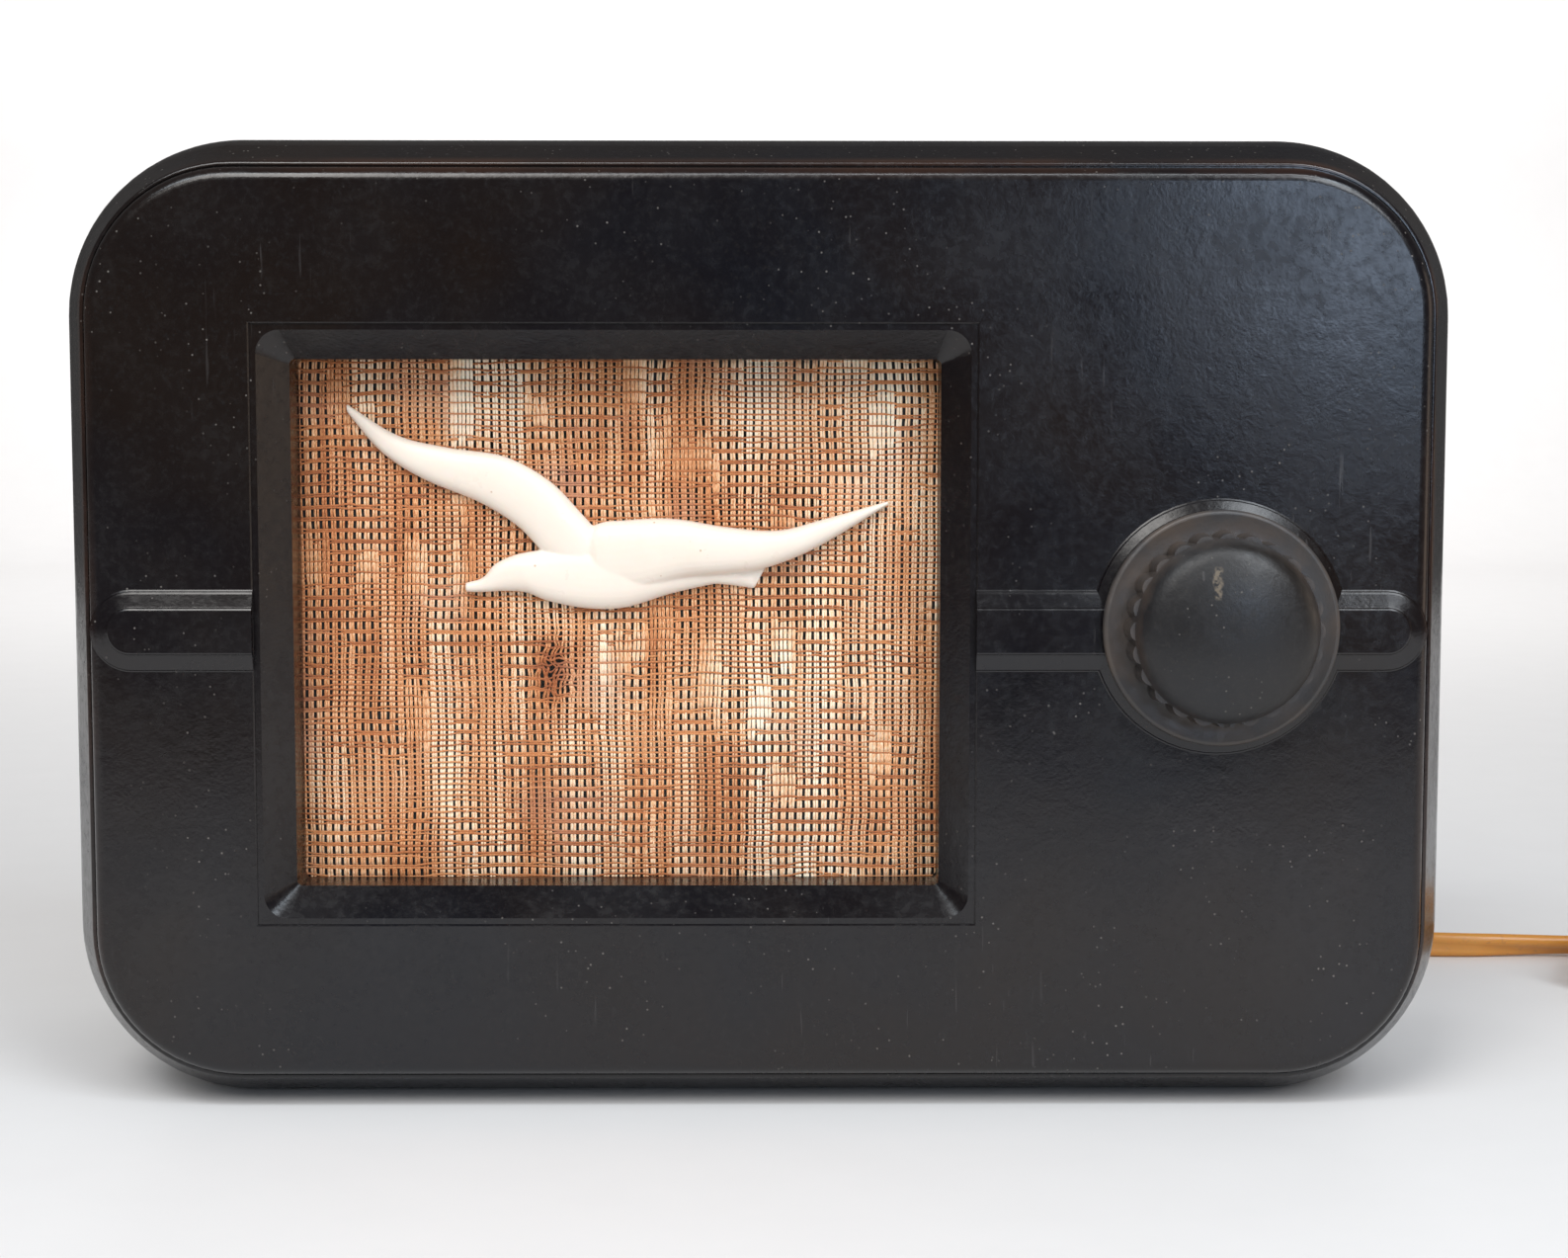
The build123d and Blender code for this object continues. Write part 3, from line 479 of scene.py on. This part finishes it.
def make_weft(kind, left, bottom, front_y, thick, lowest, highest):
    """The yarns that run across: one point on each warp yarn and one in each gap."""
    pairs, rows = kind.shape[0], kind.shape[1] - 1
    step = np.arange(4 * pairs + 1)
    over = step % 2 == 1
    pair = np.minimum(step // 4, pairs - 1)
    row = np.arange(rows + 1)[:, None]
    sort = kind[pair].T
    x = np.broadcast_to(left + step * PAIR_PITCH / 4, sort.shape)
    gather = np.where(sort == OPEN, np.where(row % 2 == 1, 0.32, -0.32), 0.0)
    z = bottom + row * ROW_PITCH + running_mean(gather, 3) * ROW_PITCH
    hidden = (sort == FLOATS) & (row % 2 == 1)
    y = front_y + thick * np.where(hidden, 0.80, np.where(over[None], 0.14, 0.34))
    half = (0.170 + 0.045 * swells(x / 0.006, row * 0.9, 41)) * MM
    z = np.clip(z + sag(x, z), lowest, highest)
    weft = ribbons("grille_cloth_weft", np.stack([x, y, z], -1),
                   np.array((0, 0, -1.0)), half, WEFT_BULGE * MM)
    streak, patch = swells(x / 0.03, row * 0.7, 51), swells(x / 0.02, z / 0.018, 33)
    paint_yarn(weft, np.stack([streak, patch, snagged(x, z)], -1))
    return weft


def make_cloth():
    """Two layers of yarn: cream pairs of warp run up, thin rust weft runs across and binds them."""
    low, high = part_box("grille_cloth")
    width, height = high.x - low.x, high.z - low.z
    pairs, rows = int(width / PAIR_PITCH), int(height / ROW_PITCH)
    kind = woven_pattern(pairs, rows + 1)
    left = low.x + (width - pairs * PAIR_PITCH) / 2
    bottom = low.z + (height - rows * ROW_PITCH) / 2
    front_y, thick = low.y, high.y - low.y
    warp = make_warp(kind, left, bottom, front_y, thick)
    weft = make_weft(kind, left, bottom, front_y, thick, low.z + WEFT_MARGIN, high.z - WEFT_MARGIN)
    dress(yarn_look("warp_yarn", WARP_STOPS, (1, 1, 0.12)), warp)
    dress(yarn_look("weft_yarn", WEFT_STOPS, (0.12, 1, 1)), weft)
    for layer in (warp, weft):
        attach(layer, "cabinet")
    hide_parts("grille_cloth")


def paint_yarn(piece, shade):
    """Stores streak, stain and snag of every step on the three points of its ribbon."""
    attribute = piece.data.attributes.new("shade", "FLOAT_VECTOR", "POINT")
    every_point = np.repeat(shade.reshape(-1, 3), 3, 0)
    attribute.data.foreach_set("vector", every_point.astype(np.float32).ravel())


# dye of the yarns, from stained to faded: place on the ramp and colour
WARP_STOPS = [(0.12, (0.36, 0.10, 0.025)), (0.38, (0.69, 0.30, 0.115)), (0.62, (0.89, 0.585, 0.355)),
              (0.88, (0.97, 0.845, 0.665))]
WEFT_STOPS = [(0.15, (0.26, 0.065, 0.014)), (0.55, (0.47, 0.15, 0.04)), (0.9, (0.67, 0.30, 0.115))]
STAIN = (0.60, 0.36, 0.26)


def yarn_look(name, stops, along):
    """Dyed yarn: streaks and stains from the mesh, fibres along it, a little sheen."""
    look = Look(name, stops[1][1], 0.62, Sheen_Weight=0.35, Sheen_Roughness=0.4, Subsurface_Weight=0.1,
                Subsurface_Scale=0.0004)
    shade = look.add("ShaderNodeAttribute")
    shade.attribute_name = "shade"
    parts = look.add("ShaderNodeSeparateXYZ", Vector=shade.outputs["Vector"]).outputs
    fibre = look.noise(0.00011, 2, along)
    tone = look.maths("ADD", look.maths("MULTIPLY", parts["X"], 0.24),
                      look.maths("MULTIPLY", parts["Y"], 0.16))
    tone = look.maths("ADD", tone, look.level(fibre, 0.3, 0.7, 0.30, 0.78))
    tone = look.maths("SUBTRACT", tone, look.maths("MULTIPLY", parts["Z"], 0.55))
    ramp = look.add("ShaderNodeValToRGB", Fac=tone)
    for element, (position, colour) in zip(ramp.color_ramp.elements, (stops[0], stops[-1])):
        element.position, element.color = position, (*colour, 1)
    for position, colour in stops[1:-1]:
        ramp.color_ramp.elements.new(position).color = (*colour, 1)
    look.colour(look.blend(look.level(look.noise(0.02, 3), 0.55, 0.75, 0, 0.35), ramp.outputs["Color"],
                           STAIN))
    look.bump(fibre, 0.00006)
    return look


make_cloth()


# ---------------------------------------------------------------- the gull relief
CLOTH_GAP = 0.0001
GULL_VOXEL = 0.00028


def smooth_curve(points, count):
    """count points evenly along a Catmull-Rom curve through the points."""
    p = np.array(points, float)
    p = np.vstack([2 * p[0] - p[1], p, 2 * p[-1] - p[-2]])
    line = []
    for a, b, c, d in zip(p, p[1:], p[2:], p[3:]):
        for t in np.linspace(0, 1, 30, endpoint=False):
            line.append(0.5 * (2 * b + (c - a) * t + (2 * a - 5 * b + 4 * c - d) * t * t
                               + (3 * b - a - 3 * c + d) * t ** 3))
    line = np.array(line + [p[-2]])
    along = np.concatenate([[0], np.cumsum(np.linalg.norm(np.diff(line, axis=0), axis=1))])
    even = np.linspace(0, along[-1], count)
    return np.stack([np.interp(even, along, line[:, k]) for k in range(line.shape[1])], 1)


def feather_form(name, upper, lower, rise, back_y, lift=(0.0,), stations=72, around=28):
    """A closed form between two outline curves of (x, z) in millimetres: domed in front, flat behind.
    rise is its swell and lift the height of its edges, in millimetres, at even stations along it."""
    top, bottom = smooth_curve(upper, stations), smooth_curve(lower, stations)
    share = np.linspace(0, 1, stations)
    height = np.interp(share, np.linspace(0, 1, len(rise)), rise)
    raised = np.interp(share, np.linspace(0, 1, len(lift)), lift)
    vertices = []
    for (x1, z1), (x2, z2), h, edge in zip(top, bottom, height, raised):
        for k in range(around):
            a = 2 * math.pi * k / around
            across = (1 - math.cos(a)) / 2
            swell = abs(math.sin(a)) ** 0.8
            depth = back_y - (edge + h * swell if math.sin(a) > 0 else -0.3 * swell) * MM
            vertices.append(((x1 + (x2 - x1) * across) * MM, depth, (z1 + (z2 - z1) * across) * MM))
    faces = [(i * around + k, (i + 1) * around + k,
              (i + 1) * around + (k + 1) % around, i * around + (k + 1) % around)
             for i in range(stations - 1) for k in range(around)]
    faces += [tuple(range(around)), tuple((stations - 1) * around + k for k in range(around))[::-1]]
    return mesh_object(name, vertices, faces)


def make_gull():
    """Near wing, body with head, tail, and far wing, whose lower edge runs on as a crease in the flank.
    The four forms overlap and are made into one skin."""
    back_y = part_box("grille_cloth")[0].y - CLOTH_GAP
    near_wing = feather_form(
        "gull_near_wing",
        [(-75.0, 126.7), (-65.8, 121.0), (-56.5, 118.7), (-46.3, 117.1), (-38.2, 112.7), (-32.6, 107.0),
         (-28.2, 102.0)],
        [(-74.7, 124.9), (-68.7, 117.9), (-61.2, 113.0), (-50.9, 108.7), (-44.1, 104.4), (-39.6, 99.8),
         (-35.5, 97.0)],
        [0.7, 1.7, 2.3, 2.6, 2.8, 2.7, 2.1], back_y)
    body = feather_form(
        "gull_body",
        [(-53.7, 94.1), (-50.5, 95.1), (-48.2, 97.6), (-44.4, 99.3), (-39.5, 100.2), (-34.0, 100.8),
         (-26.0, 100.6), (-16.0, 98.6), (-7.0, 96.6), (-1.6, 95.8)],
        [(-53.5, 92.4), (-50.0, 92.4), (-46.8, 92.6), (-42.6, 92.3), (-38.4, 90.7), (-31.4, 89.4),
         (-24.4, 89.6), (-15.8, 92.2), (-6.4, 94.1), (-1.2, 93.2)],
        [1.1, 1.8, 2.5, 2.7, 2.8, 2.9, 2.6, 2.0, 1.6, 1.0], back_y)
    far_wing = feather_form(
        "gull_far_wing",
        [(-36.5, 98.0), (-30.6, 104.4), (-24.0, 105.6), (-15.5, 105.8), (-6.0, 104.3), (3.2, 103.7),
         (11.5, 105.7), (23.3, 109.0)],
        [(-36.8, 96.5), (-30.0, 92.6), (-22.5, 92.5), (-14.0, 94.9), (-5.5, 95.9), (1.2, 96.9),
         (10.4, 100.6), (23.5, 108.4)],
        [1.2, 2.9, 3.3, 3.3, 3.0, 2.5, 1.8, 0.7], back_y,
        lift=[-2.0, -0.2, 0.7, 1.1, 1.1, 0.9, 0.5, 0.2])
    tail = feather_form(
        "gull_tail",
        [(-12.0, 96.0), (-5.0, 96.4), (0.9, 96.7)],
        [(-12.0, 94.2), (-5.6, 93.7), (-1.1, 93.0)],
        [1.6, 1.5, 0.7], back_y, stations=30)
    parts = [near_wing, body, far_wing, tail]
    with bpy.context.temp_override(active_object=body, selected_editable_objects=parts, object=body):
        bpy.ops.object.join()
    body.name = body.data.name = "gull_relief"
    remesh = body.modifiers.new("one_skin", "REMESH")
    remesh.mode, remesh.voxel_size = "VOXEL", GULL_VOXEL
    smooth = body.modifiers.new("soften", "SMOOTH")
    smooth.factor, smooth.iterations = 0.5, 2
    bpy.context.view_layer.update()
    skin = bpy.data.meshes.new_from_object(body.evaluated_get(bpy.context.evaluated_depsgraph_get()))
    body.modifiers.clear()
    body.data = skin
    skin.shade_smooth()
    look = Look("ivory_plastic", (0.84, 0.75, 0.65), 0.32, Subsurface_Weight=0.12,
                Subsurface_Scale=0.0012, Coat_Weight=0.15, Coat_Roughness=0.25)
    tint = look.blend(look.noise(0.014, 4), (0.825, 0.735, 0.645), (0.78, 0.68, 0.575))
    speck = look.level(look.cell_distance(0.0042), 0.035, 0.06, 0.75, 0)
    tint = look.blend(speck, tint, (0.50, 0.33, 0.20))
    look.colour(tint).roughness(look.level(look.noise(0.004, 4), 0.3, 0.7, 0.26, 0.42))
    look.bump(look.noise(0.0035, 3), 0.00005)
    dress(look, body)
    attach(body, "cabinet")
    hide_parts("gull_ornament")


make_gull()


# ---------------------------------------------------------------- materials of the CAD parts
def phenolic(name, dark, light, roughness, tint, grain=1.0):
    """Moulded phenolic: cloudy tint, mottled grain, fine scratches and dust specks.
    roughness is its lowest and highest before scuffs and dust."""
    look = Look(name, dark, roughness[0], Specular_IOR_Level=0.5)
    cloud = look.level(look.noise(0.055, 4, distortion=0.4), 0.35, 0.68)
    base = look.blend(cloud, dark, tint)
    mottle = look.level(look.noise(0.0007, 3), 0.56, 0.74)
    base = look.blend(look.maths("MULTIPLY", mottle, 0.6), base, light)
    hairs = look.level(look.noise(0.0009, 2, (1, 1, 0.06), (0, 24, 8)), 0.68, 0.74, 0, 1)
    hairs = look.maths("MULTIPLY", hairs, look.level(look.noise(0.03, 2), 0.5, 0.7))
    base = look.blend(look.maths("MULTIPLY", hairs, 0.35), base, (0.09, 0.085, 0.085))
    dust = look.level(look.cell_distance(0.0019), 0.06, 0.12, 1, 0)
    dust = look.maths("MULTIPLY", dust, look.level(look.noise(0.022, 3), 0.47, 0.66))
    base = look.blend(look.maths("MULTIPLY", dust, 0.7), base, (0.16, 0.145, 0.13))
    look.colour(base)
    gloss = look.level(look.noise(0.018, 5), 0.32, 0.68, *roughness)
    scuff = look.level(look.noise(0.0016, 5, distortion=0.3), 0.45, 0.75, 0, 0.10)
    look.roughness(look.maths("ADD", look.maths("ADD", gloss, scuff),
                              look.maths("MULTIPLY", dust, 0.3), clamp=True))
    look.bump(look.noise(0.0006, 3), 0.000016 * grain)
    look.bump(look.noise(0.0042, 5, distortion=0.6), 0.00004 * grain)
    return look


# where the front plate's shoulder starts and ends: |x|, z and y
SHOULDER_SIDE, SHOULDER_TOP, SHOULDER_FRONT = (0.1168, 0.1190), (0.1655, 0.1675), (-0.0285, -0.0300)
SHOULDER_HIGHLIGHT_BROWN = (0.030, 0.0125, 0.0070)


def painted_shoulder_highlight(look):
    """A brown painted highlight lightens the top and sides of the shoulder round the front plate."""
    shown = look.shown()
    side = look.level(look.maths("ABSOLUTE", look.axis("X")), *SHOULDER_SIDE)
    top = look.level(look.axis("Z"), *SHOULDER_TOP)
    front = look.level(look.axis("Y"), *SHOULDER_FRONT)
    edge = look.maths("MULTIPLY", look.maths("MAXIMUM", side, top), front)
    edge = look.maths("MULTIPLY", edge, look.level(look.noise(0.03, 4), 0.38, 0.62, 0.15, 1))
    # painted highlight: the shoulder's top and sides are lightened to brown
    look.colour(look.blend(look.maths("MULTIPLY", edge, 0.8), shown, SHOULDER_HIGHLIGHT_BROWN))


# on the knob, from its centre: radii where the flange begins, and the worn mark's place and half size
FLANGE_FROM, FLANGE_FULL = 0.0158, 0.0178
MARK_X, MARK_Z = 0.0026, 0.0086
MARK_HALF_WIDTH, MARK_HALF_HEIGHT = (0.0004, 0.0008), (0.0022, 0.0030)
MARK_COLOUR = (0.16, 0.125, 0.085)


def wear_and_painted_shade_knob(look):
    """The flange is dull and browner, with painted shade that darkens it towards its bottom, and the
    dome carries one worn light mark above its middle.
    """
    shown = look.shown()
    low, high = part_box("volume_knob")
    away = look.add("ShaderNodeVectorMath", Vector=look.place)
    away.operation = "SUBTRACT"
    away.inputs[1].default_value = (low + high) / 2
    parts = look.add("ShaderNodeSeparateXYZ", Vector=away.outputs["Vector"]).outputs
    squares = [look.maths("POWER", look.maths("ABSOLUTE", parts[letter]), 2.0) for letter in "XZ"]
    radius = look.maths("SQRT", look.maths("ADD", *squares))
    ragged = look.maths("ADD", radius, look.maths("MULTIPLY", look.noise(0.004, 4), 0.002))
    flange = look.level(ragged, FLANGE_FROM, FLANGE_FULL)
    dull = look.blend(look.level(look.noise(0.006, 5), 0.35, 0.68),
                      (0.043, 0.040, 0.040), (0.072, 0.054, 0.043))
    # painted shade: the flange's dull colour is blended towards near black lower down
    free_of_painted_shade = look.level(parts["Z"], -0.022, 0.006, 0.5, 1.0)
    dull = look.blend(free_of_painted_shade, (0.012, 0.010, 0.009), dull)
    colour = look.blend(flange, shown, dull)
    bend = look.maths("MULTIPLY", look.maths("SUBTRACT", look.noise(0.0024, 3), 0.5), 0.0018)
    sideways = look.maths("ABSOLUTE", look.maths("ADD", look.maths("ADD", parts["X"], MARK_X), bend))
    upwards = look.maths("ABSOLUTE", look.maths("SUBTRACT", parts["Z"], MARK_Z))
    across = look.level(sideways, *MARK_HALF_WIDTH, 1, 0)
    along = look.level(upwards, *MARK_HALF_HEIGHT, 1, 0)
    rough_edge = look.level(look.noise(0.0008, 3), 0.40, 0.55)
    mark = look.maths("MULTIPLY", look.maths("MULTIPLY", across, along), rough_edge)
    look.colour(look.blend(look.maths("MULTIPLY", mark, 0.7), colour, MARK_COLOUR))


bakelite = phenolic("bakelite", (0.0020, 0.0019, 0.0040), (0.011, 0.0098, 0.010), (0.16, 0.26),
                    (0.0062, 0.0030, 0.0020))
painted_shoulder_highlight(bakelite)
dress(bakelite, nodes["front_case"])

knob_look = phenolic("knob_phenolic", (0.0055, 0.0055, 0.0070), (0.018, 0.015, 0.013), (0.34, 0.46),
                     (0.013, 0.0095, 0.007), 2.0)
wear_and_painted_shade_knob(knob_look)
dress(knob_look, nodes["volume_knob"])


def metal(name, colour, dull, roughness, size=0.004, stretch=None):
    """Plated or turned metal: tarnish clouds, fine tool marks and a little pitting."""
    look = Look(name, colour, roughness, Metallic=1.0)
    cloud = look.level(look.noise(size, 5), 0.4, 0.7)
    look.colour(look.blend(cloud, colour, dull))
    look.roughness(look.level(look.noise(size / 3, 4), 0.3, 0.7, roughness - 0.08, roughness + 0.14))
    look.bump(look.noise(0.0004, 2, stretch), 0.00002)
    return look


def painted(name, colour, other, roughness, size, grain, relief, stretch=None, turn=(0, 0, 0),
            **sockets):
    """A plain surface with clouds of that size, and grain of its own size and relief."""
    look = Look(name, colour, roughness, **sockets)
    fine = look.noise(grain, 4, stretch, turn)
    mixed = look.blend(look.level(look.noise(size, 4), 0.35, 0.65), colour, other)
    look.colour(look.blend(look.level(fine, 0.3, 0.7, 0, 0.35), mixed, tuple(0.55 * c for c in other)))
    look.roughness(look.level(fine, 0.3, 0.7, roughness - 0.08, roughness + 0.08))
    look.bump(fine, relief)
    return look


def plywood():
    """Birch plywood with the grain along its width, drawn near black on its faces that look forward,
    behind the cloth.
    """
    look = painted("plywood", (0.50, 0.34, 0.19), (0.40, 0.26, 0.13), 0.6, 0.02, 0.0022, 0.00008,
                   (0.12, 1, 1))
    shown = look.shown()
    normal = look.add("ShaderNodeNewGeometry").outputs["Normal"]
    facing = look.add("ShaderNodeSeparateXYZ", Vector=normal).outputs["Y"]
    look.colour(look.blend(look.level(facing, -0.6, -0.4, 1, 0), shown, (0.006, 0.005, 0.005)))
    return look


def pressboard():
    """Brown pressed fibre board with flecks."""
    look = painted("pressboard", (0.155, 0.088, 0.048), (0.20, 0.122, 0.07), 0.62, 0.03, 0.0009, 0.00006)
    shown = look.shown()
    fleck = look.level(look.noise(0.0018, 2, (0.3, 1, 1), (0, 35, 0)), 0.66, 0.72)
    look.colour(look.blend(look.maths("MULTIPLY", fleck, 0.5), shown, (0.30, 0.20, 0.12)))
    look.bump(look.noise(0.004, 4), 0.00012)
    return look


def woven(name, colour, other, thread):
    """A woven tape or cloth: warp and weft ribs crossing."""
    look = Look(name, colour, 0.85, Sheen_Weight=0.3)
    ribs = []
    for direction in ("X", "Y", "Z"):
        wave = look.add("ShaderNodeTexWave", Vector=look.place, Scale=1 / (math.pi * thread),
                        Distortion=0.6)
        wave.bands_direction = direction
        ribs.append(wave.outputs["Fac"])
    both = look.maths("MULTIPLY", look.maths("MAXIMUM", ribs[0], ribs[1]),
                      look.maths("ADD", ribs[2], 0.6))
    look.colour(look.blend(both, other, colour))
    look.bump(both, thread / 4)
    return look


looks = {
    "zinc_steel": metal("zinc_steel", (0.52, 0.51, 0.48), (0.34, 0.31, 0.26), 0.42),
    "pressed_steel": painted("pressed_steel", (0.24, 0.245, 0.24), (0.18, 0.185, 0.185), 0.45, 0.02,
                             0.0008, 0.00003, Metallic=0.3),
    "magnet": painted("magnet", (0.10, 0.10, 0.105), (0.06, 0.058, 0.058), 0.7, 0.01, 0.0006, 0.00008),
    "lamination": painted("lamination", (0.085, 0.08, 0.085), (0.15, 0.09, 0.06), 0.55, 0.01,
                          0.0005, 0.00010, (0.05, 1, 0.05), Metallic=0.6),
    "coil_paper": painted("coil_paper", (0.42, 0.26, 0.09), (0.30, 0.17, 0.05), 0.4, 0.01,
                          0.001, 0.00005, Coat_Weight=0.4),
    "cone_paper": painted("cone_paper", (0.055, 0.052, 0.048), (0.085, 0.078, 0.070), 0.9, 0.01,
                          0.0007, 0.00008),
    "spider_cloth": woven("spider_cloth", (0.50, 0.33, 0.14), (0.34, 0.20, 0.07), 0.0006),
    "felt": painted("felt", (0.17, 0.16, 0.145), (0.12, 0.115, 0.105), 0.95, 0.006,
                    0.0005, 0.00012, Sheen_Weight=0.4),
    "copper_winding": metal("copper_winding", (0.62, 0.25, 0.11), (0.42, 0.14, 0.06), 0.35, 0.003,
                            (1, 0.02, 1)),
    "tinned_brass": metal("tinned_brass", (0.62, 0.57, 0.44), (0.46, 0.36, 0.20), 0.35),
    "pin_brass": metal("pin_brass", (0.75, 0.56, 0.26), (0.50, 0.33, 0.13), 0.28, 0.003, (1, 0.05, 1)),
    "control_shell": metal("control_shell", (0.50, 0.51, 0.52), (0.36, 0.36, 0.36), 0.38),
    "carbon_track": painted("carbon_track", (0.012, 0.012, 0.012), (0.022, 0.021, 0.020), 0.5, 0.004,
                            0.0005, 0.00002),
    "rubber": painted("rubber", (0.020, 0.018, 0.017), (0.038, 0.035, 0.032), 0.72, 0.004,
                      0.0006, 0.00005),
    "lead_insulation": woven("lead_insulation", (0.40, 0.28, 0.09), (0.22, 0.14, 0.04), 0.0005),
    "tie_tape": woven("tie_tape", (0.66, 0.61, 0.50), (0.42, 0.37, 0.28), 0.0008),
    "plug_plastic": phenolic("plug_phenolic", (0.022, 0.012, 0.008), (0.045, 0.026, 0.016), (0.30, 0.44),
                             (0.034, 0.017, 0.010)),
    "plywood": plywood(),
    "pressboard": pressboard(),
}
for part in frame["record"]["subparts"]:
    if part["material_slot"] in looks:
        dress(looks[part["material_slot"]], nodes[part["node"]])
